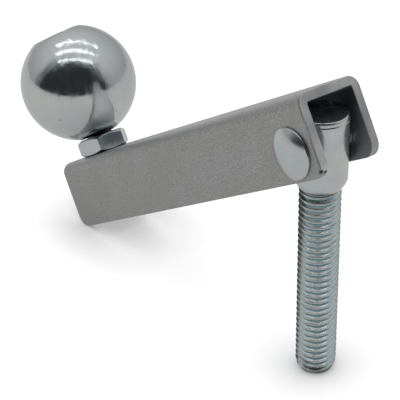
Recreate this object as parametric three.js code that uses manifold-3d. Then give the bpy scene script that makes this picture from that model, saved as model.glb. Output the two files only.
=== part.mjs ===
// Folding clamp lever with a ball grip: a pressed steel channel swings on a riveted threaded stud.
// Millimetres. +Z runs up the stud and the origin is the centre of the stud's flat tip.
// The lever stands as it is set down: on the stud's tip and on the two rounded corners of its low end.

import * as THREE from 'three';
import { mergeVertices } from 'three/addons/utils/BufferGeometryUtils.js';
import Module from 'manifold-3d';

const wasm = await Module();
wasm.setup();

// ---- driving dimensions -------------------------------------------------------------------

const SEAT_GAP = 0.05; // between pieces that bear on each other
const ROUND_STEPS = 48; // sides of a turned piece

// swing stud, 1/2 in coarse thread; heights are from the rivet's axis
const PIVOT_HEIGHT = 80.0; // rivet axis above the stud's tip
const THREAD_RADIUS = 6.3;
const TIP_FLAT_RADIUS = 4.3;
const TIP_HEIGHT = 4.2; // length of the rounded point
const HEAD_RADIUS = 7.95;
const HEAD_TOP = 9.65;
const HEAD_TOP_FLAT_RADIUS = 7.3;
const HEAD_TOP_EDGE = [[7.95, 7.9], [7.8, 8.25], [7.62, 9.2], [7.5, 9.5]]; // [radius, height]
const COLLAR_BOTTOM = -11.2; // full radius down to here
const SHOULDER = [[7.2, -13.1], [7.75, -12.0]]; // [radius, height] on its rounded underside
const COLLAR_END = -14.7; // the shoulder has run out into the thread
const CROSS_HOLE_RADIUS = 4.1;

// channel arm; lengths run from the rivet's axis along the arm, heights are square to its web
const ARM_WIDTH = 22.2;
const SHEET = 2.85;
const WEB_TOP = 15.4;
const FLANGE_BOTTOM = 8.7;
const STUD_END = 10.8; // rivet axis to the end that the stud swings out of
const BALL_END = 142.3; // rivet axis to the end under the ball
const BEND_RADIUS_OUTSIDE = 3.7;
const BEND_RADIUS_INSIDE = 1.05;
const CORNER_RADIUS = 4.7; // lower corners of both flanges
const RIVET_HOLE_RADIUS = 4.1;
const BOLT_HOLE_RADIUS = 5.15;

// rivet
const RIVET_RADIUS = 4.0;
const RIVET_HEAD_RADIUS = 7.8;
const RIVET_RIM = 0.75; // square edge under the dome
const RIVET_HEAD_HEIGHT = 2.6;
const RIVET_TAIL_RADIUS = 6.3;
const RIVET_TAIL_HEIGHT = 2.3;
const WASHER_RADIUS = 8.0;
const WASHER_THICKNESS = 1.6;

// ball grip and its fastening; the ball was bored off square, so it leans a little to the -Y side
const BALL_RADIUS = 20.8;
const BALL_CENTRE = 26.35; // above the web
const BALL_PLACE = -126.65; // along the arm
const BALL_TOP_FLAT = 18.85; // ball's centre to the flat on top
const BALL_TOP_LEAN = THREE.MathUtils.degToRad(5.4);
const BALL_BASE_FLAT = 19.75; // ball's centre to the flat against the nut
const BALL_BASE_LEAN = THREE.MathUtils.degToRad(2.1);
const BALL_HOLE_RADIUS = 5.1;
const BALL_HOLE_DEPTH = 20.0;
const BOLT_PLACE = -125.65; // along the arm, a little off the ball's centre
const BOLT_RADIUS = 5.0;
const BOLT_POINT = 1.0; // chamfer at the end of the bolt
const BOLT_LENGTH = 25.0; // under the head
const BOLT_HEAD_FLATS = 16.0;
const BOLT_HEAD_HEIGHT = 6.4;
const WASHER_FACE_RADIUS = 7.2; // raised face under the bolt's head, clear of the channel's inner bends
const WASHER_FACE_HEIGHT = 0.45;
const NUT_FLATS = 16.5;
const NUT_THICKNESS = 6.15;
const NUT_HOLE_RADIUS = 5.1;
const NUT_TURN = THREE.MathUtils.degToRad(22.5); // where the nut came tight
const CHAMFER_SLOPE = Math.tan(THREE.MathUtils.degToRad(30));
const CHAMFER_INSET = 0.65; // a hexagon's chamfer stops this far inside its flats
const OVERSHOOT = 1; // how far a cutting shape reaches past what it cuts

// ---- worked out from those ----------------------------------------------------------------

// Tilt at which the rounded corners of the low end just touch the surface that the tip stands on.
const cornerAlong = BALL_END - CORNER_RADIUS;
const cornerBelow = FLANGE_BOTTOM - CORNER_RADIUS;
const ARM_TILT = Math.asin((PIVOT_HEIGHT - CORNER_RADIUS) / Math.hypot(cornerAlong, cornerBelow))
  - Math.atan2(cornerBelow, cornerAlong);
const WEB_UNDERSIDE = WEB_TOP - SHEET;
const BALL_SIDE = -BALL_BASE_FLAT * Math.sin(BALL_BASE_LEAN); // ball's centre off the bolt's axis, along Y

// ---- materials ----------------------------------------------------------------------------

function metal(name, color, roughness) {
  return new THREE.MeshStandardMaterial({ name, color, roughness, metalness: 1 });
}

const armSteel = metal('arm_steel', 0x86888b, 0.55);
const ballPlate = metal('ball_plate', 0xb9bfc4, 0.08);
const zincPlate = metal('zinc_plate', 0xaab2b4, 0.3);
const studZinc = metal('stud_zinc', 0x8b9da3, 0.35);
const boltZinc = metal('bolt_zinc', 0x9aa1a3, 0.4);

// ---- shape helpers ------------------------------------------------------------------------

// A closed geometry as a solid that can be cut or joined.
function solid(geometry) {
  const bare = new THREE.BufferGeometry();
  bare.setAttribute('position', geometry.getAttribute('position'));
  if (geometry.index) bare.setIndex(geometry.index);
  const merged = mergeVertices(bare, 1e-4);
  return new wasm.Manifold(new wasm.Mesh({
    numProp: 3,
    vertProperties: new Float32Array(merged.getAttribute('position').array),
    triVerts: new Uint32Array(merged.index.array),
  }));
}

function geometryOf(manifold) {
  const mesh = manifold.getMesh();
  const geometry = new THREE.BufferGeometry();
  geometry.setAttribute('position', new THREE.BufferAttribute(new Float32Array(mesh.vertProperties), 3));
  geometry.setIndex(new THREE.BufferAttribute(new Uint32Array(mesh.triVerts), 1));
  geometry.computeVertexNormals();
  return geometry;
}

// Turned piece about +Z from points [radius, height] that start and end on the axis.
function turned(points, steps = ROUND_STEPS) {
  const profile = points.map(([radius, height]) => new THREE.Vector2(radius, height));
  return new THREE.LatheGeometry(profile, steps).rotateX(Math.PI / 2);
}

// Points [radius, height] on an arc in the turning plane, both ends included.
function arcPoints(centreRadius, centreHeight, radius, fromAngle, toAngle, count) {
  return Array.from({ length: count + 1 }, (_, i) => {
    const angle = fromAngle + (toAngle - fromAngle) * i / count;
    return [centreRadius + radius * Math.cos(angle), centreHeight + radius * Math.sin(angle)];
  });
}

// Solid rod about +Z between two heights, used to cut holes.
function rod(radius, from, to) {
  return turned([[0, from], [radius, from], [radius, to], [0, to]]);
}

// Hexagonal bar along +Z with both ends chamfered where asked.
function hexagon(flats, from, to, chamferBottom, chamferTop) {
  const corner = flats / Math.sqrt(3);
  const shape = new THREE.Shape();
  for (let i = 0; i < 6; i += 1) {
    const angle = i * Math.PI / 3;
    const draw = i === 0 ? 'moveTo' : 'lineTo';
    shape[draw](corner * Math.cos(angle), corner * Math.sin(angle));
  }
  shape.closePath();
  const bar = new THREE.ExtrudeGeometry(shape, { depth: to - from, bevelEnabled: false })
    .translate(0, 0, from);
  const face = flats / 2 - CHAMFER_INSET; // radius of the flat that the chamfer leaves on an end
  const outside = corner + OVERSHOOT;
  const drop = (outside - face) * CHAMFER_SLOPE;
  const ends = [[0, from], [chamferBottom ? face : outside, from]];
  if (chamferBottom) ends.push([outside, from + drop]);
  if (chamferTop) ends.push([outside, to - drop]);
  ends.push([chamferTop ? face : outside, to], [0, to]);
  return solid(bar).intersect(solid(turned(ends)));
}

// ---- the pieces ---------------------------------------------------------------------------

// Turned stud with a round head, a shoulder, a plain stand-in for the thread and a rounded point.
function swingStud() {
  const tipArc = Array.from({ length: 5 }, (_, i) => {
    const angle = Math.PI / 2 * i / 4;
    const outwards = THREAD_RADIUS - TIP_FLAT_RADIUS;
    return [TIP_FLAT_RADIUS + outwards * Math.sin(angle), TIP_HEIGHT * (1 - Math.cos(angle))];
  });
  const head = [
    [THREAD_RADIUS, COLLAR_END],
    ...SHOULDER,
    [HEAD_RADIUS, COLLAR_BOTTOM],
    ...HEAD_TOP_EDGE,
    [HEAD_TOP_FLAT_RADIUS, HEAD_TOP],
    [0, HEAD_TOP],
  ].map(([radius, height]) => [radius, height + PIVOT_HEIGHT]);
  const body = solid(turned([[0, 0], ...tipArc, ...head]));
  const crossHole = rod(CROSS_HOLE_RADIUS, -ARM_WIDTH, ARM_WIDTH)
    .rotateX(Math.PI / 2)
    .translate(0, 0, PIVOT_HEIGHT);
  return geometryOf(body.subtract(solid(crossHole)));
}

// Folded channel along X: U section, rounded lower corners, rivet holes and the bolt's hole.
function channelArm() {
  const halfWidth = ARM_WIDTH / 2;
  const inside = halfWidth - SHEET;
  const outer = BEND_RADIUS_OUTSIDE;
  const inner = BEND_RADIUS_INSIDE;
  const section = new THREE.Shape();
  section.moveTo(-halfWidth, -FLANGE_BOTTOM);
  section.lineTo(-inside, -FLANGE_BOTTOM);
  section.lineTo(-inside, WEB_UNDERSIDE - inner);
  section.absarc(-inside + inner, WEB_UNDERSIDE - inner, inner, Math.PI, Math.PI / 2, true);
  section.absarc(inside - inner, WEB_UNDERSIDE - inner, inner, Math.PI / 2, 0, true);
  section.lineTo(inside, -FLANGE_BOTTOM);
  section.lineTo(halfWidth, -FLANGE_BOTTOM);
  section.absarc(halfWidth - outer, WEB_TOP - outer, outer, 0, Math.PI / 2, false);
  section.absarc(-halfWidth + outer, WEB_TOP - outer, outer, Math.PI / 2, Math.PI, false);
  section.closePath();
  // The section is drawn in (y, z) and pushed along the arm.
  const length = BALL_END + STUD_END;
  const strip = new THREE.ExtrudeGeometry(section, { depth: length, bevelEnabled: false, curveSegments: 8 })
    .applyMatrix4(new THREE.Matrix4().makeBasis(
      new THREE.Vector3(0, 1, 0),
      new THREE.Vector3(0, 0, 1),
      new THREE.Vector3(1, 0, 0),
    ))
    .translate(-BALL_END, 0, 0);

  const side = new THREE.Shape(); // drawn in (x, z): the flange's outline with its rounded corners
  side.moveTo(-BALL_END, WEB_TOP + OVERSHOOT);
  side.lineTo(-BALL_END, -FLANGE_BOTTOM + CORNER_RADIUS);
  side.absarc(-cornerAlong, -cornerBelow, CORNER_RADIUS, Math.PI, 1.5 * Math.PI, false);
  side.absarc(STUD_END - CORNER_RADIUS, -cornerBelow, CORNER_RADIUS, 1.5 * Math.PI, 2 * Math.PI, false);
  side.lineTo(STUD_END, WEB_TOP + OVERSHOOT);
  side.closePath();
  const across = ARM_WIDTH + 2 * OVERSHOOT;
  const blank = new THREE.ExtrudeGeometry(side, { depth: across, bevelEnabled: false, curveSegments: 8 })
    .rotateX(Math.PI / 2)
    .translate(0, across / 2, 0);

  const rivetHole = rod(RIVET_HOLE_RADIUS, -ARM_WIDTH, ARM_WIDTH).rotateX(Math.PI / 2);
  const boltHole = rod(BOLT_HOLE_RADIUS, 0, 2 * WEB_TOP).translate(BOLT_PLACE, 0, 0);
  return geometryOf(
    solid(strip).intersect(solid(blank)).subtract(solid(rivetHole)).subtract(solid(boltHole)),
  );
}

// Rivet along Y: low domed head on the -Y side, tail upset over a washer on the +Y side.
function pivotRivet() {
  const halfWidth = ARM_WIDTH / 2 + SEAT_GAP;
  const dome = RIVET_HEAD_HEIGHT - RIVET_RIM;
  const domeRadius = (RIVET_HEAD_RADIUS ** 2 + dome ** 2) / (2 * dome);
  const domeHalf = Math.asin(RIVET_HEAD_RADIUS / domeRadius);
  const headTop = halfWidth + RIVET_HEAD_HEIGHT;
  const head = arcPoints(0, headTop - domeRadius, domeRadius, Math.PI / 2, Math.PI / 2 - domeHalf, 6);
  const tailFoot = -(halfWidth + WASHER_THICKNESS + SEAT_GAP);
  const tail = Array.from({ length: 5 }, (_, i) => {
    const angle = Math.PI / 2 * i / 4;
    return [RIVET_TAIL_RADIUS * Math.cos(angle), tailFoot - RIVET_TAIL_HEIGHT * Math.sin(angle)];
  });
  const profile = [
    [0, headTop],
    ...head.slice(1),
    [RIVET_HEAD_RADIUS, halfWidth],
    [RIVET_RADIUS, halfWidth],
    [RIVET_RADIUS, tailFoot],
    ...tail.slice(0, -1),
    [0, tailFoot - RIVET_TAIL_HEIGHT],
  ];
  // Written head first, so it is turned upside down to run from the axis's low end.
  return turned(profile.reverse()).rotateX(Math.PI / 2);
}

// Flat ring between the far flange and the rivet's tail.
function rivetWasher() {
  const near = ARM_WIDTH / 2 + SEAT_GAP;
  const ring = solid(rod(WASHER_RADIUS, -near - WASHER_THICKNESS, -near));
  const hole = solid(rod(RIVET_HOLE_RADIUS, -2 * ARM_WIDTH, 0));
  return geometryOf(ring.subtract(hole).rotate([90, 0, 0]));
}

// Normal of a plane whose top leans towards -Y.
function leaned(angle) {
  return [0, -Math.sin(angle), Math.cos(angle)];
}

// Ball with a flat on top, a flat against the nut and an upright blind hole. Its centre is at the origin.
function ballKnob() {
  const skin = arcPoints(0, 0, BALL_RADIUS, -Math.PI / 2, Math.PI / 2, 32);
  skin[0][0] = 0;
  skin[skin.length - 1][0] = 0;
  const [, topY, topZ] = leaned(BALL_TOP_LEAN);
  const ball = solid(turned(skin, 60))
    .trimByPlane([0, -topY, -topZ], -BALL_TOP_FLAT)
    .trimByPlane(leaned(BALL_BASE_LEAN), -BALL_BASE_FLAT);
  const base = -BALL_BASE_FLAT * Math.cos(BALL_BASE_LEAN);
  const holeTop = base + BALL_HOLE_DEPTH;
  const hole = turned([
    [0, base - OVERSHOOT],
    [BALL_HOLE_RADIUS, base - OVERSHOOT],
    [BALL_HOLE_RADIUS, holeTop],
    [0, holeTop + BALL_HOLE_RADIUS * CHAMFER_SLOPE],
  ]).translate(BOLT_PLACE - BALL_PLACE, -BALL_SIDE, 0);
  return geometryOf(ball.subtract(solid(hole)));
}

function jamNut() {
  const body = hexagon(NUT_FLATS, 0, NUT_THICKNESS, true, true);
  return geometryOf(body.subtract(solid(rod(NUT_HOLE_RADIUS, -OVERSHOOT, NUT_THICKNESS + OVERSHOOT))));
}

// Hexagon bolt pushed up through the web; its head sits between the flanges, which stop it turning.
function ballBolt() {
  const head = hexagon(BOLT_HEAD_FLATS, -BOLT_HEAD_HEIGHT, -WASHER_FACE_HEIGHT, true, false);
  const shank = solid(turned([
    [0, -OVERSHOOT],
    [WASHER_FACE_RADIUS, -OVERSHOOT],
    [WASHER_FACE_RADIUS, 0],
    [BOLT_RADIUS, 0],
    [BOLT_RADIUS, BOLT_LENGTH - BOLT_POINT],
    [BOLT_RADIUS - BOLT_POINT, BOLT_LENGTH],
    [0, BOLT_LENGTH],
  ]));
  return geometryOf(head.add(shank));
}

// ---- assembly -----------------------------------------------------------------------------

function piece(name, geometry, material) {
  const mesh = new THREE.Mesh(geometry, material);
  mesh.name = name;
  return mesh;
}

const ball = piece('ball_knob', ballKnob(), ballPlate);
ball.position.set(BALL_PLACE, BALL_SIDE, WEB_TOP + BALL_CENTRE);

const nut = piece('jam_nut', jamNut(), zincPlate);
nut.position.set(BOLT_PLACE, 0, WEB_TOP + SEAT_GAP);
nut.rotation.z = NUT_TURN;

const bolt = piece('ball_bolt', ballBolt(), boltZinc);
bolt.position.set(BOLT_PLACE, 0, WEB_UNDERSIDE - SEAT_GAP);

// The arm's own frame has its origin on the rivet's axis, +X towards the stud's end and +Z out of the web.
const lever = new THREE.Group();
lever.position.z = PIVOT_HEIGHT;
lever.rotation.y = -ARM_TILT;
lever.add(
  piece('channel_arm', channelArm(), armSteel),
  piece('pivot_rivet', pivotRivet(), zincPlate),
  piece('rivet_washer', rivetWasher(), zincPlate),
  ball,
  nut,
  bolt,
);

const clampLever = new THREE.Group();
clampLever.add(piece('swing_stud', swingStud(), studZinc), lever);

export default clampLever;
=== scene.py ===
from math import asin, atan2, cos, pi, radians, sin, sqrt, tan

import bmesh
import bpy
from mathutils import Matrix, Vector


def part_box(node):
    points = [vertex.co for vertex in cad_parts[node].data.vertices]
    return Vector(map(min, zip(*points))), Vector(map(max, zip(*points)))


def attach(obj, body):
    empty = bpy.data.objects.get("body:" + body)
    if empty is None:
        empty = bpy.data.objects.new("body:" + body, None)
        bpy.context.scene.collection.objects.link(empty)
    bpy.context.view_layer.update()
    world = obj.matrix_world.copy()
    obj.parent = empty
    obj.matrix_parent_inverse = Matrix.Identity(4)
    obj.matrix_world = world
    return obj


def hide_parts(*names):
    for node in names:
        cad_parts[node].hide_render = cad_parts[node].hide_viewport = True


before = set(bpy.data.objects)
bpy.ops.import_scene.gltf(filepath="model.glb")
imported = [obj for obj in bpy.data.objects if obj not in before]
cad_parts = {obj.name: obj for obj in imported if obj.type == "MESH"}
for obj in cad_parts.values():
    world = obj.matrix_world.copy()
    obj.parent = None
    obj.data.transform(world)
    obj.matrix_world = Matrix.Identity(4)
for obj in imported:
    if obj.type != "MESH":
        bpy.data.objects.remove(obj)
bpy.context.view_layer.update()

mm = 0.001

# the rivet's axis and the ball's centre, as they stand
rivetLow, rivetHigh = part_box("pivot_rivet")
ballLow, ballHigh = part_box("ball_knob")
pivot = Vector(((rivetLow.x + rivetHigh.x) / 2, 0, (rivetLow.z + rivetHigh.z) / 2))
ballCentre = (ballLow + ballHigh) / 2

# from the rivet's axis, along the lever and square to its web
ballAlong = -126.65 * mm
boltAlong = -125.65 * mm
ballAbove = 41.75 * mm
leverTilt = atan2(ballCentre.z - pivot.z, ballCentre.x - pivot.x) - atan2(ballAbove, ballAlong)


# nodes

# a Mix node has sockets for every kind of data, and these are the ones for colours
mixFactor, mixFirst, mixSecond, mixResult = 0, 6, 7, 2


def addNode(tree, kind, inputs=None, **settings):
    node = tree.nodes.new(kind)
    for setting, value in settings.items():
        setattr(node, setting, value)
    for socket, value in (inputs or {}).items():
        if isinstance(value, bpy.types.NodeSocket):
            tree.links.new(value, node.inputs[socket])
        else:
            node.inputs[socket].default_value = value
    return node


def reckon(tree, operation, *values, clamp=False):
    return addNode(tree, "ShaderNodeMath", dict(enumerate(values)),
                   operation=operation, use_clamp=clamp).outputs[0]


def remap(tree, value, fromMin, fromMax, toMin=0.0, toMax=1.0):
    return addNode(tree, "ShaderNodeMapRange",
                   {"Value": value, "From Min": fromMin, "From Max": fromMax,
                    "To Min": toMin, "To Max": toMax}, interpolation_type="SMOOTHSTEP").outputs[0]


def mixValue(tree, factor, first, second):
    return addNode(tree, "ShaderNodeMix", {"Factor": factor, "A": first, "B": second}).outputs[0]


def mixColour(tree, factor, first, second):
    first = first if isinstance(first, bpy.types.NodeSocket) else (*first, 1)
    second = second if isinstance(second, bpy.types.NodeSocket) else (*second, 1)
    return addNode(tree, "ShaderNodeMix", {mixFactor: factor, mixFirst: first, mixSecond: second},
                   data_type="RGBA").outputs[mixResult]


# camera, floor and light

cameraView = {
    "place": (0.25522, -0.23288, 0.26914),
    "turn": (58.8543, 1.1754, 52.7338),      # degrees
    "lens": 123.82, "sensor": 36,
    "nearest": 0.01,
}

studio = {
    "floorSize": 9.0,
    "floorToCamera": (0.20, 0.20, 0.20), "floorGlow": 1.04,
    "floorInMetal": (0.55, 0.545, 0.535), "hazeInMetal": (1, 0.99, 0.97), "metalGlow": 0.30,
    # dark touch under what stands on the floor, and the wide shade round it
    "contactReach": 0.021, "contactWay": (-0.1, 0.88, 0.46), "contactDepth": 1.7, "contactShare": 0.6,
    "shadeReach": 0.11, "shadeWay": (-0.1, 0.6, 0.8), "shadeShare": 0.33,
    "shadowSamples": 24,
    "tubeHeight": 0.95, "tubeLength": 1.15, "tubeWidth": 0.11,
    "tubeOffsets": (-0.42, -0.03, 0.31),     # in tube heights
    "tubePower": 0.5, "tubeColour": (0.97, 0.98, 1.0), "tubeAzimuth": 51.0,
    "wallLow": 0.42, "wallHigh": 0.63, "wallRise": (0.1, 0.75), "wallTint": (0.97, 0.985, 1.0),
    "roomAzimuth": -46.0, "roomFall": -0.10,
    "roomRagged": 0.3, "roomPatches": 3.5, "roomEdge": (0.15, 0.60),
    "roomDark": 0.035, "roomTint": (0.80, 0.91, 1.0),
}


def placeCamera():
    bpy.ops.object.camera_add(location=cameraView["place"],
                              rotation=[radians(a) for a in cameraView["turn"]])
    camera = bpy.context.object
    camera.name = "viewCamera"
    camera.data.lens = cameraView["lens"]
    camera.data.sensor_width = cameraView["sensor"]
    camera.data.clip_start = cameraView["nearest"]
    bpy.context.scene.camera = camera


def openness(tree, reach, way):
    # leaning the way makes the shade fall to the other side
    return addNode(tree, "ShaderNodeAmbientOcclusion", {"Distance": reach, "Normal": way},
                   samples=studio["shadowSamples"]).outputs["AO"]


def layFloor():
    bpy.ops.mesh.primitive_plane_add(size=studio["floorSize"], location=(0, 0, 0))
    floor = bpy.context.object
    floor.name = "paleFloor"
    material = bpy.data.materials.new("paleFloor")
    material.use_nodes = True
    tree = material.node_tree
    tree.nodes.clear()
    # seen directly it stays white, with a soft dark touch where something stands on it
    full = studio["floorGlow"]
    touch = reckon(tree, "POWER", openness(tree, studio["contactReach"], studio["contactWay"]),
                   studio["contactDepth"])
    close = addNode(tree, "ShaderNodeMapRange",
                    {"Value": touch, "To Min": (1 - studio["contactShare"]) * full, "To Max": full})
    wide = addNode(tree, "ShaderNodeMapRange",
                   {"Value": openness(tree, studio["shadeReach"], studio["shadeWay"]),
                    "To Min": 1 - studio["shadeShare"], "To Max": 1.0})
    strength = reckon(tree, "MULTIPLY", close.outputs[0], wide.outputs[0])
    glow = addNode(tree, "ShaderNodeEmission", {"Color": (1, 1, 1, 1), "Strength": strength})
    toCamera = addNode(tree, "ShaderNodeBsdfDiffuse", {"Color": (*studio["floorToCamera"], 1)})
    direct = addNode(tree, "ShaderNodeAddShader", {0: toCamera.outputs[0], 1: glow.outputs[0]})
    # in the metal it shows as a lit pale sheet
    lit = addNode(tree, "ShaderNodeBsdfDiffuse", {"Color": (*studio["floorInMetal"], 1)})
    haze = addNode(tree, "ShaderNodeEmission",
                   {"Color": (*studio["hazeInMetal"], 1), "Strength": studio["metalGlow"]})
    inMetal = addNode(tree, "ShaderNodeAddShader", {0: lit.outputs[0], 1: haze.outputs[0]})
    isDirect = addNode(tree, "ShaderNodeLightPath").outputs["Is Camera Ray"]
    above = addNode(tree, "ShaderNodeMixShader", {0: isDirect, 1: inMetal.outputs[0], 2: direct.outputs[0]})
    # from underneath the floor isn't there
    fromBelow = addNode(tree, "ShaderNodeNewGeometry").outputs["Backfacing"]
    clear = addNode(tree, "ShaderNodeBsdfTransparent")
    shown = addNode(tree, "ShaderNodeMixShader", {0: fromBelow, 1: above.outputs[0], 2: clear.outputs[0]})
    addNode(tree, "ShaderNodeOutputMaterial", {"Surface": shown.outputs[0]})
    floor.data.materials.append(material)


def hangLights():
    # three soft tubes side by side over the table, across the camera's line of sight
    along = radians(studio["tubeAzimuth"])
    across = Vector((sin(along), -cos(along), 0))
    for number, offset in enumerate(studio["tubeOffsets"]):
        place = Vector((ballCentre.x, 0, studio["tubeHeight"])) + across * offset * studio["tubeHeight"]
        bpy.ops.object.light_add(type="AREA", location=place, rotation=(0, 0, along))
        tube = bpy.context.object
        tube.name = f"softTube{number + 1}"
        tube.data.shape = "RECTANGLE"
        tube.data.size = studio["tubeLength"]
        tube.data.size_y = studio["tubeWidth"]
        tube.data.energy = studio["tubePower"]
        tube.data.color = studio["tubeColour"]


def wrapStudio():
    # pale tent walls, with the open side behind the camera left dark
    world = bpy.data.worlds.new("studioTent")
    bpy.context.scene.world = world
    world.use_nodes = True
    tree = world.node_tree
    tree.nodes.clear()
    direction = addNode(tree, "ShaderNodeTexCoord").outputs["Generated"]
    height = addNode(tree, "ShaderNodeSeparateXYZ", {0: direction}).outputs["Z"]
    wallFoot, wallTop = studio["wallRise"]
    wall = addNode(tree, "ShaderNodeMapRange",
                   {"Value": height, "From Min": wallFoot, "From Max": wallTop,
                    "To Min": studio["wallLow"], "To Max": studio["wallHigh"]}).outputs[0]
    roomWay = radians(studio["roomAzimuth"])
    towardsRoom = addNode(tree, "ShaderNodeVectorMath",
                          {0: direction, 1: (cos(roomWay), sin(roomWay), studio["roomFall"])},
                          operation="DOT_PRODUCT").outputs["Value"]
    patches = addNode(tree, "ShaderNodeTexNoise",
                      {"Vector": direction, "Scale": studio["roomPatches"], "Detail": 2.0}).outputs["Fac"]
    ragged = reckon(tree, "MULTIPLY_ADD", patches, studio["roomRagged"], towardsRoom)
    room = remap(tree, ragged, *studio["roomEdge"])
    shade = mixValue(tree, room, wall, studio["roomDark"])
    isDirect = addNode(tree, "ShaderNodeLightPath").outputs["Is Camera Ray"]
    seen = mixValue(tree, isDirect, shade, 1.0)
    tint = mixColour(tree, room, studio["wallTint"], studio["roomTint"])
    back = addNode(tree, "ShaderNodeBackground", {"Color": tint, "Strength": seen})
    addNode(tree, "ShaderNodeOutputWorld", {"Surface": back.outputs[0]})


bpy.ops.object.select_all(action="DESELECT")
placeCamera()
layFloor()
hangLights()
wrapStudio()
bpy.context.scene.view_settings.view_transform = "Standard"
print("camera, floor and lights in place")


# working steps shared by the pieces

onItsSide = (pi / 2, 0, 0)       # from standing along Z to lying along Y


def takeUp(piece):
    bpy.ops.object.select_all(action="DESELECT")
    piece.select_set(True)
    bpy.context.view_layer.objects.active = piece


def workOn(piece, selectMode="VERT"):
    takeUp(piece)
    bpy.ops.object.mode_set(mode="EDIT")
    bpy.ops.mesh.select_mode(type=selectMode)
    bpy.ops.mesh.select_all(action="DESELECT")


def stopWork():
    bpy.ops.object.mode_set(mode="OBJECT")


def pick(piece, kind, wanted):
    shape = bmesh.from_edit_mesh(piece.data)
    for part in getattr(shape, kind):
        part.select_set(wanted(part))
    shape.select_flush_mode()
    bmesh.update_edit_mesh(piece.data)


def applyStep(piece, kind, **settings):
    takeUp(piece)
    step = piece.modifiers.new(kind.lower(), kind)
    for setting, value in settings.items():
        setattr(step, setting, value)
    bpy.ops.object.modifier_apply(modifier=step.name)


def combine(piece, other, operation):
    applyStep(piece, "BOOLEAN", operation=operation, solver="EXACT", object=other)
    bpy.data.objects.remove(other)


def shift(piece, offset=(0, 0, 0), turn=(0, 0, 0)):
    takeUp(piece)
    piece.rotation_euler = turn
    piece.location = offset
    bpy.ops.object.transform_apply(location=True, rotation=True, scale=True)


def putOnLever(piece):
    # from the lever's own frame, origin on the rivet's axis, to where the lever stands
    shift(piece, pivot, (0, -leverTilt, 0))


def drawOutline(name, points):
    # one vertex pulled from point to point in the XZ plane
    bpy.ops.object.select_all(action="DESELECT")
    bpy.ops.mesh.primitive_plane_add(size=mm, location=(0, 0, 0))
    piece = bpy.context.object
    piece.name = name
    workOn(piece)
    bpy.ops.mesh.select_all(action="SELECT")
    bpy.ops.mesh.merge(type="CENTER")
    bpy.ops.transform.translate(value=(points[0][0], 0, points[0][1]))
    for here, there in zip(points, points[1:]):
        bpy.ops.mesh.extrude_region_move(
            TRANSFORM_OT_translate={"value": (there[0] - here[0], 0, there[1] - here[1])})
    return piece


def closeShape():
    bpy.ops.mesh.select_all(action="SELECT")
    bpy.ops.mesh.remove_doubles(threshold=0.001 * mm)
    bpy.ops.mesh.dissolve_degenerate(threshold=0.001 * mm)
    bpy.ops.mesh.select_all(action="SELECT")
    bpy.ops.mesh.normals_make_consistent(inside=False)


def turnPiece(name, points, steps):
    # points are (radius, height); the outline starts and ends on the axis or closes on itself
    piece = drawOutline(name, points)
    bpy.ops.mesh.select_all(action="SELECT")
    bpy.ops.mesh.spin(steps=steps, angle=2 * pi, center=(0, 0, 0), axis=(0, 0, 1))
    closeShape()
    stopWork()
    return piece


def hexBar(name, flats, low, high, turn):
    bpy.ops.object.select_all(action="DESELECT")
    bpy.ops.mesh.primitive_cylinder_add(vertices=6, radius=flats / sqrt(3), depth=high - low,
                                        location=(0, 0, (low + high) / 2), rotation=(0, 0, turn))
    bpy.ops.object.transform_apply(location=True, rotation=True, scale=True)
    bar = bpy.context.object
    bar.name = name
    return bar


def roundRod(radius, low, high, sides=64):
    bpy.ops.object.select_all(action="DESELECT")
    bpy.ops.mesh.primitive_cylinder_add(vertices=sides, radius=radius, depth=high - low,
                                        location=(0, 0, (low + high) / 2))
    bpy.ops.object.transform_apply(location=True, rotation=True, scale=True)
    return bpy.context.object


def threadedRod(name, thread, low, high):
    # one groove's outline screwed upwards, then trimmed square at both ends
    pitch, crest = thread["pitch"], thread["radius"]
    crestFlat, rootFlat = pitch / 8, pitch / 3
    flank = (pitch - crestFlat - rootFlat) / 2
    root = crest - flank / tan(radians(30))
    soft = 0.05 * pitch                      # how much the crest and root are eased
    spareTurns = 2
    start = low - spareTurns * pitch
    outline = [
        (crest - 0.35 * soft, 0.0),
        (crest, 0.6 * soft),
        (crest, crestFlat - 0.6 * soft),
        (crest - 0.35 * soft, crestFlat),
        (root + 0.8 * soft, crestFlat + flank - 0.4 * soft),
        (root, crestFlat + flank + soft),
        (root, pitch - flank - soft),
        (root + 0.8 * soft, pitch - flank + 0.4 * soft),
        (crest - 0.35 * soft, pitch),
    ]
    rod = drawOutline(name, [(r, start + z) for r, z in outline])
    stopWork()
    applyStep(rod, "SCREW", axis="Z", angle=2 * pi, screw_offset=pitch,
              iterations=int((high - low) / pitch) + 2 * spareTurns,
              steps=thread["steps"], render_steps=thread["steps"],
              use_merge_vertices=True, merge_threshold=0.001 * mm)
    workOn(rod)
    for height, above in ((high, True), (low, False)):
        bpy.ops.mesh.select_all(action="SELECT")
        bpy.ops.mesh.bisect(plane_co=(0, 0, height), plane_no=(0, 0, 1), use_fill=True,
                            clear_outer=above, clear_inner=not above)
    closeShape()
    stopWork()
    return rod


def roundEdges(piece, width, angle=35):
    applyStep(piece, "BEVEL", width=width, segments=3, limit_method="ANGLE",
              angle_limit=radians(angle), miter_outer="MITER_ARC", use_clamp_overlap=True)


def smoothOver(piece, angle=40):
    takeUp(piece)
    bpy.ops.object.shade_smooth_by_angle(angle=radians(angle))
    applyStep(piece, "WEIGHTED_NORMAL", keep_sharp=True, weight=50)


def finishPiece(piece, node, body, material):
    piece.data.name = piece.name
    piece.data.materials.clear()
    piece.data.materials.append(material)
    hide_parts(node)
    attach(piece, body)
    print(piece.name, "done,", len(piece.data.polygons), "faces")


# surface effects, one node group each

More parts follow.
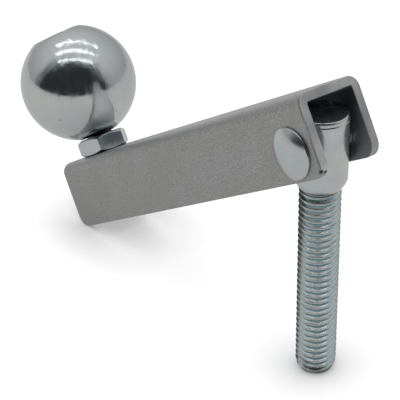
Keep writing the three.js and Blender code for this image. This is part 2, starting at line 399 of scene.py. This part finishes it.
def startGroup(name, inputs, outputs):
    group = bpy.data.node_groups.new(name, "ShaderNodeTree")
    group.interface.new_socket(name="Vector", in_out="INPUT", socket_type="NodeSocketVector")
    for label, value in inputs.items():
        socket = group.interface.new_socket(name=label, in_out="INPUT", socket_type="NodeSocketFloat")
        socket.default_value = value
    for label in outputs:
        group.interface.new_socket(name=label, in_out="OUTPUT", socket_type="NodeSocketFloat")
    return group, addNode(group, "NodeGroupInput"), addNode(group, "NodeGroupOutput")


def buildGrain():
    # fine grain of pickled or plated steel, with softer mottling under it
    group, given, out = startGroup("fineGrain", {"Scale": 2400.0, "Mottle Scale": 120.0},
                                   ["Grain", "Mottle"])
    grain = addNode(group, "ShaderNodeTexNoise",
                    {"Vector": given.outputs["Vector"], "Scale": given.outputs["Scale"],
                     "Detail": 3.0, "Roughness": 0.6})
    mottle = addNode(group, "ShaderNodeTexNoise",
                     {"Vector": given.outputs["Vector"], "Scale": given.outputs["Mottle Scale"],
                      "Detail": 4.0, "Roughness": 0.55})
    group.links.new(grain.outputs["Fac"], out.inputs["Grain"])
    group.links.new(mottle.outputs["Fac"], out.inputs["Mottle"])
    return group


def buildPits():
    # scattered specks: a few cells of the pattern hold one dark dot each
    group, given, out = startGroup("scatteredPits", {"Scale": 160.0, "Size": 0.05, "Share": 0.2}, ["Pits"])
    cells = addNode(group, "ShaderNodeTexVoronoi",
                    {"Vector": given.outputs["Vector"], "Scale": given.outputs["Scale"]})
    dot = remap(group, cells.outputs["Distance"], given.outputs["Size"], 0.0)
    draw = addNode(group, "ShaderNodeSeparateColor", {0: cells.outputs["Color"]}).outputs[0]
    chosen = reckon(group, "LESS_THAN", draw, given.outputs["Share"])
    group.links.new(reckon(group, "MULTIPLY", dot, chosen), out.inputs["Pits"])
    return group


def buildScuffs():
    # faint uneven marks; the material stretches them by squeezing the vector
    group, given, out = startGroup("hairlineScuffs", {"Scale": 300.0, "Threshold": 0.62}, ["Scuffs"])
    noise = addNode(group, "ShaderNodeTexNoise",
                    {"Vector": given.outputs["Vector"], "Scale": given.outputs["Scale"],
                     "Detail": 2.0, "Roughness": 0.5})
    marks = remap(group, noise.outputs["Fac"], given.outputs["Threshold"], 0.8)
    group.links.new(marks, out.inputs["Scuffs"])
    return group


fineGrain = buildGrain()
scatteredPits = buildPits()
hairlineScuffs = buildScuffs()
print("surface effects ready")


def startMaterial(name):
    material = bpy.data.materials.new(name)
    material.use_nodes = True
    tree = material.node_tree
    shader = tree.nodes["Principled BSDF"]
    shader.inputs["Metallic"].default_value = 1.0
    place = addNode(tree, "ShaderNodeTexCoord").outputs["Object"]
    return material, tree, shader, place


def useEffect(tree, effect, vector, values):
    return addNode(tree, "ShaderNodeGroup", {"Vector": vector, **values}, node_tree=effect)


def bump(tree, shader, height, distance, strength):
    node = addNode(tree, "ShaderNodeBump", {"Strength": strength, "Distance": distance, "Height": height})
    tree.links.new(node.outputs["Normal"], shader.inputs["Normal"])


# channel arm

channelArm = {
    "width": 22.2 * mm, "sheet": 2.85 * mm,
    "webTop": 15.4 * mm, "flangeBottom": 8.7 * mm,
    "studEnd": 10.8 * mm, "ballEnd": 142.3 * mm,
    "bendRadius": 3.7 * mm, "bendSteps": 12,
    "cornerRadius": 4.7 * mm, "cornerSteps": 12,
    "rivetHole": 4.1 * mm, "boltHole": 5.15 * mm,
    "edge": 0.28 * mm,
    "grain": {"Scale": 2600.0, "Mottle Scale": 70.0}, "grainHeight": 0.06 * mm,
    "steelDark": (0.29, 0.29, 0.295), "steelPale": (0.60, 0.60, 0.60),
    "patches": (0.50, 0.485, 0.465), "patchShare": 0.35,
    # painted light among these colours: a highlight on the web's top, and shade along the rolled edge and
    # inside the fold
    "webHighlight": (0.74, 0.73, 0.72), "webHighlightShare": 0.6,
    "shearedDark": (0.54, 0.535, 0.535), "shearedPale": (0.78, 0.77, 0.765),
    "rolledEdgeShade": (0.19, 0.19, 0.195),
    "inside": (0.27, 0.295, 0.325),
    "roughness": (0.42, 0.52), "shearedRoughness": 0.62,
    # each gouge's place on the near flange's lower corner, and its reach
    "gouges": [((9.8 * mm, -10.7 * mm, -7.0 * mm), 1.1 * mm),
               ((9.4 * mm, -9.1 * mm, -7.5 * mm), 0.9 * mm)],
    "gougeColour": (0.05, 0.05, 0.052),
}


def armFinish():
    look = channelArm
    outer, inner = look["width"] / 2, look["width"] / 2 - look["sheet"]
    webTop, webUnder = look["webTop"], look["webTop"] - look["sheet"]
    studEnd, ballEnd = look["studEnd"], look["ballEnd"]
    material, tree, shader, place = startMaterial("armSteel")
    # the lever's own frame, so that marks can be placed along it
    turn = Matrix.Rotation(leverTilt, 3, "Y")
    own = addNode(tree, "ShaderNodeMapping",
                  {"Vector": place, "Location": -(turn @ pivot), "Rotation": (0, leverTilt, 0)}).outputs[0]
    split = addNode(tree, "ShaderNodeSeparateXYZ", {0: own})
    along, above = split.outputs["X"], split.outputs["Z"]
    sideways = reckon(tree, "ABSOLUTE", split.outputs["Y"])
    grained = useEffect(tree, fineGrain, place, look["grain"])
    grain, mottle = grained.outputs["Grain"], grained.outputs["Mottle"]
    base = mixColour(tree, remap(tree, grain, 0.3, 0.7), look["steelDark"], look["steelPale"])
    base = mixColour(tree, remap(tree, mottle, 0.35, 0.7, 0.0, look["patchShare"]), base, look["patches"])
    # painted highlight: the top of the web is painted paler, for the light it catches
    onWeb = remap(tree, above, webTop - 1.6 * mm, webTop - 0.1 * mm, 0.0, look["webHighlightShare"])
    base = mixColour(tree, onWeb, base, look["webHighlight"])
    # sheared ends are rougher and a little paler
    atStud = remap(tree, along, studEnd - 0.25 * mm, studEnd - 0.1 * mm)
    atBall = remap(tree, along, -ballEnd + 0.25 * mm, -ballEnd + 0.1 * mm)
    ends = reckon(tree, "MAXIMUM", atStud, atBall)
    # so is a flange's cut edge round its lower corners; underneath, the edge keeps the darker steel colour as
    # painted shade
    middle = reckon(tree, "MULTIPLY", remap(tree, sideways, outer - 0.12 * mm, outer - 0.28 * mm),
                    remap(tree, sideways, inner + 0.12 * mm, inner + 0.28 * mm))
    belowBend = reckon(tree, "MULTIPLY", middle, remap(tree, above, 9 * mm, 7 * mm))
    flangeEdge = reckon(tree, "MULTIPLY", belowBend, remap(tree, above, -7.9 * mm, -6.6 * mm))
    cut = reckon(tree, "MAXIMUM", ends, flangeEdge)
    sheared = mixColour(tree, remap(tree, mottle, 0.35, 0.65), look["shearedDark"], look["shearedPale"])
    base = mixColour(tree, cut, base, sheared)
    # painted shade: a thin dark line, patchy along it, where the shears rolled the outer edge over
    rolled = remap(tree, along, studEnd - 0.85 * mm, studEnd - 0.5 * mm)
    onSide = remap(tree, sideways, outer - 0.5 * mm, outer - 0.2 * mm)
    onTop = remap(tree, above, webTop - 4 * mm, webTop - 3 * mm)
    uncut = reckon(tree, "SUBTRACT", rolled, cut, clamp=True)
    line = reckon(tree, "MULTIPLY", uncut, reckon(tree, "MAXIMUM", onSide, onTop))
    worn = reckon(tree, "MULTIPLY", line, remap(tree, mottle, 0.35, 0.65, 0.15, 0.75))
    base = mixColour(tree, worn, base, look["rolledEdgeShade"])
    for spot, reach in look["gouges"]:
        away = addNode(tree, "ShaderNodeVectorMath", {0: own, 1: spot}, operation="DISTANCE").outputs["Value"]
        ragged = reckon(tree, "MULTIPLY_ADD", grain, 1.2 * reach, away)
        base = mixColour(tree, remap(tree, ragged, 1.6 * reach, 0.9 * reach), base, look["gougeColour"])
    # painted shade: inside the fold the steel is painted darker and bluer
    inSides = remap(tree, sideways, inner + 0.12 * mm, inner + 0.02 * mm)
    inWeb = remap(tree, above, webUnder + 0.12 * mm, webUnder + 0.02 * mm)
    base = mixColour(tree, reckon(tree, "MULTIPLY", inSides, inWeb), base, look["inside"])
    tree.links.new(base, shader.inputs["Base Color"])
    rough = mixValue(tree, cut, remap(tree, mottle, 0.3, 0.7, *look["roughness"]), look["shearedRoughness"])
    tree.links.new(rough, shader.inputs["Roughness"])
    bump(tree, shader, grain, look["grainHeight"], 0.5)
    return material


def makeChannelArm():
    size = channelArm
    length = size["ballEnd"] + size["studEnd"]
    height = size["webTop"] + size["flangeBottom"]
    bpy.ops.object.select_all(action="DESELECT")
    bpy.ops.mesh.primitive_cube_add(
        size=1, scale=(length, size["width"], height),
        location=((size["studEnd"] - size["ballEnd"]) / 2, 0, (size["webTop"] - size["flangeBottom"]) / 2))
    bpy.ops.object.transform_apply(location=True, rotation=True, scale=True)
    arm = bpy.context.object
    arm.name = "channelArm"
    # open the block underneath and at both ends: a folded sheet is left
    workOn(arm, "FACE")
    pick(arm, "faces", lambda f: f.normal.z < -0.5 or abs(f.normal.x) > 0.5)
    bpy.ops.mesh.delete(type="FACE")
    # the two bends
    bpy.ops.mesh.select_mode(type="EDGE")
    pick(arm, "edges", lambda e: len(e.link_faces) == 2)
    bpy.ops.mesh.bevel(offset=size["bendRadius"], segments=size["bendSteps"], profile=0.5, affect="EDGES")
    # the lower corners of both flanges
    bpy.ops.mesh.select_mode(type="VERT")
    pick(arm, "verts", lambda v: v.co.z < 0)
    bpy.ops.mesh.bevel(offset=size["cornerRadius"], segments=size["cornerSteps"], profile=0.5,
                       affect="VERTICES")
    stopWork()
    applyStep(arm, "SOLIDIFY", thickness=size["sheet"], offset=-1, use_even_offset=True)
    rivetDrill = roundRod(size["rivetHole"], -size["width"], size["width"])
    shift(rivetDrill, turn=onItsSide)
    combine(arm, rivetDrill, "DIFFERENCE")
    boltDrill = roundRod(size["boltHole"], 0, 2 * size["webTop"])
    shift(boltDrill, (boltAlong, 0, 0))
    combine(arm, boltDrill, "DIFFERENCE")
    roundEdges(arm, size["edge"])
    smoothOver(arm)
    putOnLever(arm)
    finishPiece(arm, "channel_arm", "lever", armFinish())


makeChannelArm()


# zinc plate, shared by the rivet, washer, nut and bolt

zincPlate = {
    "grain": {"Scale": 3200.0, "Mottle Scale": 210.0}, "grainHeight": 0.012 * mm,
    "pits": {"Scale": 420.0, "Size": 0.16, "Share": 0.10}, "pitColour": (0.20, 0.20, 0.19),
    "coolPatches": (0.58, 0.63, 0.65), "warmPatches": (0.66, 0.68, 0.68),
}


def zincFinish(name, roughness, warmth):
    look = zincPlate
    material, tree, shader, place = startMaterial(name)
    grained = useEffect(tree, fineGrain, place, look["grain"])
    mottle = grained.outputs["Mottle"]
    pits = useEffect(tree, scatteredPits, place, look["pits"]).outputs["Pits"]
    red, green, blue = look["warmPatches"]
    warm = (red + warmth, green, blue - warmth)
    base = mixColour(tree, remap(tree, mottle, 0.3, 0.7), look["coolPatches"], warm)
    base = mixColour(tree, pits, base, look["pitColour"])
    tree.links.new(base, shader.inputs["Base Color"])
    rough = remap(tree, mottle, 0.3, 0.75, roughness - 0.04, roughness + 0.06)
    tree.links.new(rough, shader.inputs["Roughness"])
    bump(tree, shader, grained.outputs["Grain"], look["grainHeight"], 0.5)
    return material


# rivet and its washer

rivet = {
    "seat": 11.15 * mm, "shank": 4.0 * mm, "fillet": 0.2 * mm,
    "headRadius": 7.8 * mm, "rim": 0.75 * mm, "headHeight": 2.6 * mm,
    "lip": 0.22 * mm, "foot": 0.15 * mm, "domeSteps": 24,
    "tailRadius": 6.3 * mm, "tailHeight": 2.3 * mm, "tailSeat": 12.8 * mm, "tailSteps": 20,
    "roughness": 0.16, "warmth": 0.01,
}

washer = {
    "radius": 8.0 * mm, "hole": 4.1 * mm, "seat": 11.15 * mm, "thickness": 1.6 * mm, "edge": 0.18 * mm,
    "roughness": 0.24, "warmth": 0.015,
}


def makeRivet():
    size = rivet
    full, shank, seat, lip, foot = size["headRadius"], size["shank"], size["seat"], size["lip"], size["foot"]
    # the dome is a slice of a ball of this radius
    dome = size["headHeight"] - size["rim"]
    edge = full - lip
    bow = (edge ** 2 + dome ** 2) / (2 * dome)
    top = seat + size["headHeight"]
    half = asin(edge / bow)
    steps = size["domeSteps"]
    domePoints = [(bow * sin(half * i / steps), top - bow + bow * cos(half * i / steps))
                  for i in range(steps + 1)]
    steps = size["tailSteps"]
    tail = [(size["tailRadius"] * cos(a), -size["tailSeat"] - size["tailHeight"] * sin(a))
            for a in [pi / 2 * i / steps for i in range(steps)]]
    outline = domePoints + [
        (full - 0.3 * lip, seat + size["rim"] - 0.35 * lip),
        (full, seat + size["rim"] - lip),
        (full, seat + foot),
        (full - foot, seat),
        (shank + size["fillet"], seat),
        (shank, seat - size["fillet"]),
        (shank, -size["tailSeat"]),
    ] + tail + [(0, -size["tailSeat"] - size["tailHeight"])]
    piece = turnPiece("pivotRivet", outline, 112)
    shift(piece, turn=onItsSide)
    smoothOver(piece)
    putOnLever(piece)
    finishPiece(piece, "pivot_rivet", "lever",
                zincFinish("rivetZinc", size["roughness"], size["warmth"]))


def makeWasher():
    size = washer
    near, far, edge = size["seat"], size["seat"] + size["thickness"], size["edge"]
    outline = [
        (size["hole"], -near), (size["radius"] - edge, -near), (size["radius"], -near - edge),
        (size["radius"], -far + edge), (size["radius"] - edge, -far), (size["hole"], -far),
        (size["hole"], -near),
    ]
    piece = turnPiece("rivetWasher", outline, 96)
    shift(piece, turn=onItsSide)
    smoothOver(piece, 50)
    putOnLever(piece)
    finishPiece(piece, "rivet_washer", "lever",
                zincFinish("washerZinc", size["roughness"], size["warmth"]))


makeRivet()
makeWasher()


# ball knob

ballKnob = {
    "radius": 20.8 * mm, "segments": 160, "rings": 96,
    "topFlat": 18.85 * mm, "topLean": radians(5.4),      # from the ball's centre, leaning to -Y
    "baseFlat": 19.75 * mm, "baseLean": radians(2.1),
    "flatEdge": 0.22 * mm,
    "holeRadius": 5.1 * mm, "holeDepth": 20.0 * mm,
    "patchScale": 60.0, "coolPatches": (0.60, 0.635, 0.64), "warmPatches": (0.67, 0.685, 0.675),
    "pits": {"Scale": 260.0, "Size": 0.12, "Share": 0.55}, "pitColour": (0.08, 0.09, 0.09),
    "scuffs": {"Scale": 420.0, "Threshold": 0.35}, "scuffSqueeze": (1, 1, 0.22), "scuffHeight": 0.06 * mm,
    "roughness": (0.12, 0.23),
}


def ballFinish():
    look = ballKnob
    material, tree, shader, place = startMaterial("ballPlate")
    mottle = useEffect(tree, fineGrain, place, {"Mottle Scale": look["patchScale"]}).outputs["Mottle"]
    pits = useEffect(tree, scatteredPits, place, look["pits"]).outputs["Pits"]
    # polishing marks drawn out upwards
    drawn = addNode(tree, "ShaderNodeVectorMath", {0: place, 1: look["scuffSqueeze"]}, operation="MULTIPLY")
    scuffs = useEffect(tree, hairlineScuffs, drawn.outputs[0], look["scuffs"]).outputs["Scuffs"]
    base = mixColour(tree, remap(tree, mottle, 0.35, 0.7), look["coolPatches"], look["warmPatches"])
    base = mixColour(tree, pits, base, look["pitColour"])
    tree.links.new(base, shader.inputs["Base Color"])
    tree.links.new(remap(tree, scuffs, 0.0, 1.0, *look["roughness"]), shader.inputs["Roughness"])
    bump(tree, shader, scuffs, look["scuffHeight"], 0.7)
    return material


def makeBallKnob():
    size = ballKnob
    bpy.ops.object.select_all(action="DESELECT")
    bpy.ops.mesh.primitive_uv_sphere_add(segments=size["segments"], ring_count=size["rings"],
                                         radius=size["radius"], location=(0, 0, 0))
    knob = bpy.context.object
    knob.name = "ballKnob"
    workOn(knob)
    # flats on top and underneath, neither quite square to the bolt
    for side, distance, lean in ((1, size["topFlat"], size["topLean"]),
                                 (-1, size["baseFlat"], size["baseLean"])):
        out = Vector((0, -sin(lean), cos(lean))) * side
        bpy.ops.mesh.select_all(action="SELECT")
        bpy.ops.mesh.bisect(plane_co=out * distance, plane_no=out, use_fill=True, clear_outer=True)
    closeShape()
    stopWork()
    roundEdges(knob, size["flatEdge"], 12)
    # blind hole for the bolt, with a drill's point
    base = -size["baseFlat"] * cos(size["baseLean"])
    end = base + size["holeDepth"]
    drill = turnPiece("ballDrill", [
        (0, base - mm), (size["holeRadius"], base - mm), (size["holeRadius"], end),
        (0, end + size["holeRadius"] * tan(radians(30)))], 64)
    shift(drill, (boltAlong - ballAlong, -ballCentre.y, 0))
    combine(knob, drill, "DIFFERENCE")
    smoothOver(knob, 30)
    shift(knob, (ballAlong, ballCentre.y, ballAbove))
    putOnLever(knob)
    finishPiece(knob, "ball_knob", "lever", ballFinish())


makeBallKnob()


# jam nut

jamNut = {
    "flats": 16.5 * mm, "thickness": 6.15 * mm, "hole": 5.1 * mm, "seat": 15.45 * mm,
    "chamferFace": 7.6 * mm, "turn": radians(22.5), "edge": 0.16 * mm,
    "roughness": 0.12, "warmth": 0.0,
}


def chamferBody(name, face, low, high, atLow, atHigh):
    # a turned disc with 30 degree chamfers that trims the corners of a hexagon
    outside = 1.35 * face                    # past the hexagon's corners
    drop = (outside - face) * tan(radians(30))
    outline = [(0, low), (face if atLow else outside, low)]
    if atLow:
        outline.append((outside, low + drop))
    if atHigh:
        outline.append((outside, high - drop))
    outline += [(face if atHigh else outside, high), (0, high)]
    return turnPiece(name, outline, 144)


def makeJamNut():
    size = jamNut
    nut = hexBar("jamNut", size["flats"], 0, size["thickness"], size["turn"] + pi / 6)
    combine(nut, chamferBody("nutTrim", size["chamferFace"], 0, size["thickness"], True, True), "INTERSECT")
    combine(nut, roundRod(size["hole"], -mm, size["thickness"] + mm), "DIFFERENCE")
    roundEdges(nut, size["edge"], 18)
    smoothOver(nut, 30)
    shift(nut, (boltAlong, 0, size["seat"]))
    putOnLever(nut)
    finishPiece(nut, "jam_nut", "lever",
                zincFinish("nutZinc", size["roughness"], size["warmth"]))


makeJamNut()


# bolt under the web

ballBolt = {
    "pitch": 1.5 * mm, "radius": 5.0 * mm, "steps": 48, "length": 25.0 * mm,
    "pointRadius": 4.0 * mm, "pointHeight": 1.2 * mm,
    "flats": 16.0 * mm, "headHeight": 6.4 * mm, "chamferFace": 7.6 * mm,
    "washerFace": 7.2 * mm, "washerHeight": 0.45 * mm, "washerEase": 0.08 * mm,
    "seat": 12.5 * mm, "edge": 0.16 * mm,
    "roughness": 0.28, "warmth": 0.01,
}


def makeBallBolt():
    size = ballBolt
    head = hexBar("ballBolt", size["flats"], -size["headHeight"], -size["washerHeight"], pi / 6)
    combine(head, chamferBody("headTrim", size["chamferFace"], -size["headHeight"], -size["washerHeight"],
                              True, False), "INTERSECT")
    roundEdges(head, size["edge"], 18)
    # the shank and the washer face both start inside the head, so that they join it
    shank = threadedRod("boltThread", size, -1.0 * mm, size["length"])
    outside = 1.2 * size["radius"]
    point = turnPiece("boltPoint", [
        (0, -2 * mm), (outside, -2 * mm), (outside, size["length"] - size["pointHeight"]),
        (size["pointRadius"], size["length"]), (0, size["length"])], 72)
    combine(shank, point, "INTERSECT")
    face, ease = size["washerFace"], size["washerEase"]
    collar = turnPiece("boltCollar", [
        (0, -0.9 * mm), (face, -0.9 * mm), (face, -ease), (face - ease, 0), (0, 0)], 72)
    combine(head, collar, "UNION")
    combine(head, shank, "UNION")
    smoothOver(head, 30)
    shift(head, (boltAlong, 0, size["seat"]))
    putOnLever(head)
    finishPiece(head, "ball_bolt", "lever",
                zincFinish("boltZinc", size["roughness"], size["warmth"]))


makeBallBolt()


# swing stud

swingStud = {
    "pitch": 2.03 * mm, "radius": 6.3 * mm, "steps": 72,
    "tipFlat": 4.3 * mm, "tipHeight": 4.2 * mm, "tipSteps": 16,
    "headRadius": 7.95 * mm, "headTop": 9.65 * mm, "topFlat": 7.3 * mm,
    "collarBottom": -11.2 * mm, "collarEnd": -14.7 * mm,
    "blankRadius": 5.75 * mm, "blankEnd": -16.0 * mm,
    "crossHole": 4.1 * mm,
    # shoulder and stepped rim in mm: how far in from the head's radius, and the height from the rivet
    "shoulder": [(0.95, -13.45), (0.5, -12.65), (0.17, -11.95), (0.03, -11.4)],
    "rim": [(0, 7.85), (0.03, 8.0), (0.1, 8.13), (0.19, 8.25),
            (0.20, 8.32), (0.20, 9.08), (0.24, 9.2), (0.52, 9.55)],
    "grain": {"Scale": 2800.0, "Mottle Scale": 260.0}, "grainHeight": 0.015 * mm,
    # painted light among these colours: a reflection on the head's near side, shade under the thread's crests
    # and a highlight on them
    "headNear": (0.64, 0.69, 0.715), "headFar": (0.705, 0.705, 0.67), "headPatches": (0.60, 0.60, 0.58),
    "threadCool": (0.52, 0.65, 0.71), "threadPale": (0.68, 0.77, 0.76),
    "underCrest": (0.27, 0.25, 0.23),
    "crestWornAndLit": (0.74, 0.71, 0.67), "crestStained": (0.24, 0.21, 0.18),
    "grooveDirt": (0.13, 0.11, 0.09), "tipGrime": (0.21, 0.19, 0.165),
    "headRoughness": (0.22, 0.32), "threadRoughness": (0.21, 0.31), "threadMetallic": 0.93,
}


def studFinish():
    look = swingStud
    crestRadius, collarFoot = look["radius"], pivot.z + look["collarEnd"]
    material, tree, shader, place = startMaterial("studZinc")
    split = addNode(tree, "ShaderNodeSeparateXYZ", {0: place})
    height = split.outputs["Z"]
    flat = addNode(tree, "ShaderNodeVectorMath", {0: place, 1: (1, 1, 0)}, operation="MULTIPLY").outputs[0]
    radius = addNode(tree, "ShaderNodeVectorMath", {0: flat}, operation="LENGTH").outputs["Value"]
    grained = useEffect(tree, fineGrain, place, look["grain"])
    mottle = grained.outputs["Mottle"]
    # head, painted cooler on its near side and warmer on its far side: a painted reflection of the dark
    # inside of the channel
    across = remap(tree, split.outputs["Y"], -look["headRadius"], look["headRadius"])
    headTint = mixColour(tree, across, look["headNear"], look["headFar"])
    headColour = mixColour(tree, remap(tree, mottle, 0.3, 0.7, 0.0, 0.35), headTint, look["headPatches"])
    # thread, with painted shade on the flanks under the crests, and crests painted paler, partly wear and
    # partly painted highlight, and stained in patches
    thread = mixColour(tree, remap(tree, mottle, 0.3, 0.7), look["threadCool"], look["threadPale"])
    underCrest = remap(tree, radius, crestRadius - 0.42 * mm, crestRadius - 0.20 * mm)
    thread = mixColour(tree, remap(tree, underCrest, 0.0, 1.0, 0.0, 0.55), thread, look["underCrest"])
    stained = remap(tree, mottle, 0.5, 0.66, 0.0, 0.7)
    worn = mixColour(tree, stained, look["crestWornAndLit"], look["crestStained"])
    crest = remap(tree, radius, crestRadius - 0.16 * mm, crestRadius - 0.04 * mm)
    thread = mixColour(tree, crest, thread, worn)
    # dirt in the grooves, and grime over everything at the tip
    patchy = remap(tree, mottle, 0.42, 0.62)
    groove = remap(tree, radius, crestRadius - 0.75 * mm, crestRadius - 1.05 * mm)
    nearTip = remap(tree, height, 7.0 * mm, 2.5 * mm, 0.25, 1.0)
    dirt = reckon(tree, "MULTIPLY", reckon(tree, "MULTIPLY", groove, nearTip), patchy)
    thread = mixColour(tree, dirt, thread, look["grooveDirt"])
    atTip = remap(tree, height, 7.0 * mm, 3.0 * mm, 0.0, 0.75)
    thread = mixColour(tree, reckon(tree, "MULTIPLY", atTip, patchy), thread, look["tipGrime"])
    threaded = remap(tree, height, collarFoot + 0.9 * mm, collarFoot - 0.2 * mm)
    tree.links.new(mixColour(tree, threaded, headColour, thread), shader.inputs["Base Color"])
    rough = mixValue(tree, threaded, remap(tree, mottle, 0.3, 0.75, *look["headRoughness"]),
                     remap(tree, mottle, 0.3, 0.75, *look["threadRoughness"]))
    tree.links.new(rough, shader.inputs["Roughness"])
    tree.links.new(remap(tree, threaded, 0.0, 1.0, 1.0, look["threadMetallic"]), shader.inputs["Metallic"])
    bump(tree, shader, grained.outputs["Grain"], look["grainHeight"], 0.4)
    return material


def makeSwingStud():
    size = swingStud
    rod = threadedRod("swingStud", size, 0, pivot.z + size["collarEnd"] + 1.2 * mm)
    # rounded point: everything outside the quarter ellipse is turned away
    swell, steps = size["radius"] - size["tipFlat"], size["tipSteps"]
    tip = [(size["tipFlat"] + swell * sin(a), size["tipHeight"] * (1 - cos(a)))
           for a in [pi / 2 * i / steps for i in range(steps + 1)]]
    outside = size["radius"] + 0.01 * mm
    point = turnPiece("pointTrim", [(0, 0)] + tip + [
        (outside, size["tipHeight"] + 0.2 * mm), (outside, pivot.z), (0, pivot.z)], 96)
    combine(rod, point, "INTERSECT")
    # round head with a stepped top rim, and the shoulder under it running out over the blank
    full = size["headRadius"]
    outline = [
        (0, size["blankEnd"]),
        (size["blankRadius"] - 0.25 * mm, size["blankEnd"]),
        (size["blankRadius"], size["blankEnd"] + 0.4 * mm),
        (size["blankRadius"] + 0.1 * mm, size["collarEnd"]),
        (size["radius"] + 0.1 * mm, size["collarEnd"] + 0.35 * mm),
        *[(full - inset * mm, z * mm) for inset, z in size["shoulder"]],
        (full, size["collarBottom"] + 0.4 * mm),
        *[(full - inset * mm, z * mm) for inset, z in size["rim"]],
        (size["topFlat"], size["headTop"]),
        (0, size["headTop"]),
    ]
    head = turnPiece("studHead", [(r, z + pivot.z) for r, z in outline], 112)
    combine(rod, head, "UNION")
    drill = roundRod(size["crossHole"], -2 * size["headRadius"], 2 * size["headRadius"], 72)
    shift(drill, pivot, onItsSide)
    combine(rod, drill, "DIFFERENCE")
    smoothOver(rod, 32)
    finishPiece(rod, "swing_stud", "stud", studFinish())


makeSwingStud()
